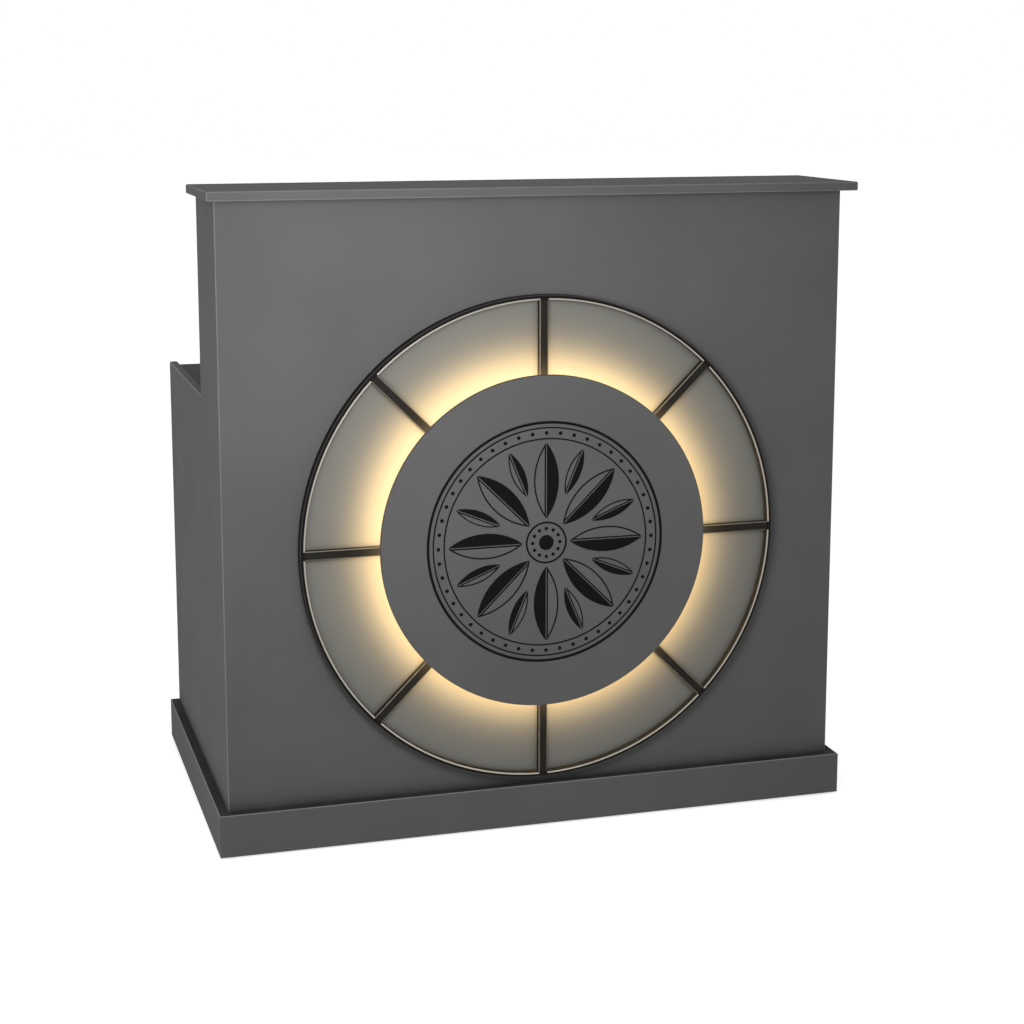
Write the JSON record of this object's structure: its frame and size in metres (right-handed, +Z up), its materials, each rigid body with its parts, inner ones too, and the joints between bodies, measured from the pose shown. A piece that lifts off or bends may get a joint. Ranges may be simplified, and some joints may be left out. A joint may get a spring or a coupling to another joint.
{
  "type": "reception desk",
  "caption": "Reception desk with a raised counter, a lower staff worktop, a drawer and cupboard pedestal, and a round back-lit spoked wheel on its front.",
  "frame": {"origin": "on the floor, in the middle of the desk's overall width and depth", "axes": "+Z up, +X to the right as a visitor faces the front, +Y from the front towards the staff side"},
  "size_m": [1.114, 0.7, 1.1],
  "materials": {
    "grey_lacquer": "MDF with a matt anthracite lacquer",
    "backing_grey": "MDF plate with a satin grey lacquer, lit from behind the medallion",
    "drawer_board": "melamine-faced board, light grey",
    "black_steel": "black powder coat, satin",
    "champagne_metal": "anodised champagne, brushed",
    "zinc_steel": "zinc-plated sheet steel",
    "bright_nickel": "nickel plated",
    "black_plastic": "moulded black ABS",
    "driver_case": "plain extruded case",
    "white_plastic": "white PVC band",
    "led_glow": "warm white LED strip under clear resin"
  },
  "bodies": {
    "carcass": {"front_panel": "grey_lacquer", "left_side_panel": "grey_lacquer", "right_side_panel": "grey_lacquer", "counter_top": "grey_lacquer", "worktop": "grey_lacquer", "counter_divider": "grey_lacquer", "plinth_front": "grey_lacquer", "plinth_left": "grey_lacquer", "plinth_right": "grey_lacquer", "pedestal_partition": "grey_lacquer", "pedestal_bottom": "grey_lacquer", "pedestal_mid_shelf": "grey_lacquer", "pedestal_toe_board": "grey_lacquer", "cupboard_shelf": "grey_lacquer", "medallion_disc": "grey_lacquer", "backing_disc": "backing_grey", "pedestal_back": "drawer_board", "ring_frame": "black_steel", "spoke_1": "black_steel", "spoke_2": "black_steel", "spoke_3": "black_steel", "spoke_4": "black_steel", "spoke_5": "black_steel", "spoke_6": "black_steel", "spoke_7": "black_steel", "spoke_8": "black_steel", "ring_trim": "champagne_metal", "corner_brackets": "zinc_steel", "levelling_feet": "zinc_steel", "left_runner_fixed": "zinc_steel", "right_runner_fixed": "zinc_steel", "lock_strike": "zinc_steel", "hinge_frame_leaves": "zinc_steel", "hinge_pins": "zinc_steel", "cable_grommet": "black_plastic", "switch_housing": "black_plastic", "mains_gland": "black_plastic", "door_catch": "black_plastic", "shelf_supports": "black_plastic", "led_driver": "driver_case", "led_carrier": "white_plastic", "led_strip": "led_glow"},
    "drawer": {"drawer_front": "grey_lacquer", "drawer_left_wall": "drawer_board", "drawer_right_wall": "drawer_board", "drawer_back_wall": "drawer_board", "drawer_bottom": "drawer_board", "drawer_handle": "black_steel", "left_runner_inner": "zinc_steel", "right_runner_inner": "zinc_steel", "lock_housing": "bright_nickel"},
    "runner_middles": {"left_runner_middle": "zinc_steel", "right_runner_middle": "zinc_steel"},
    "lock": {"lock_barrel": "bright_nickel", "lock_cam": "zinc_steel"},
    "door": {"cupboard_door": "grey_lacquer", "door_handle": "black_steel", "hinge_door_leaves": "zinc_steel"},
    "rocker": {"switch_rocker": "black_plastic"}
  },
  "joints": [
    {"name": "drawer_slide", "type": "slide", "parent": "carcass", "child": "drawer", "axis": [0, 1, 0], "range_m": [0, 0.4]},
    {"name": "runner_slide", "type": "slide", "parent": "carcass", "child": "runner_middles", "axis": [0, 1, 0], "range_m": [0, 0.2]},
    {"name": "lock_turn", "type": "hinge", "parent": "drawer", "child": "lock", "pos_m": [0.325, 0.322, 0.697], "axis": [0, -1, 0], "range_deg": [0, 90]},
    {"name": "door_swing", "type": "hinge", "parent": "carcass", "child": "door", "pos_m": [0.5215, 0.3258, 0.3175], "axis": [0, 0, -1], "range_deg": [0, 105]},
    {"name": "switch_rock", "type": "hinge", "parent": "carcass", "child": "rocker", "pos_m": [0.1005, 0.26, 0.671], "axis": [0, -1, 0], "range_deg": [0, 14]}
  ],
  "couplings": [
    {"joint": "runner_slide", "follows": "drawer_slide", "ratio": 0.5}
  ]
}
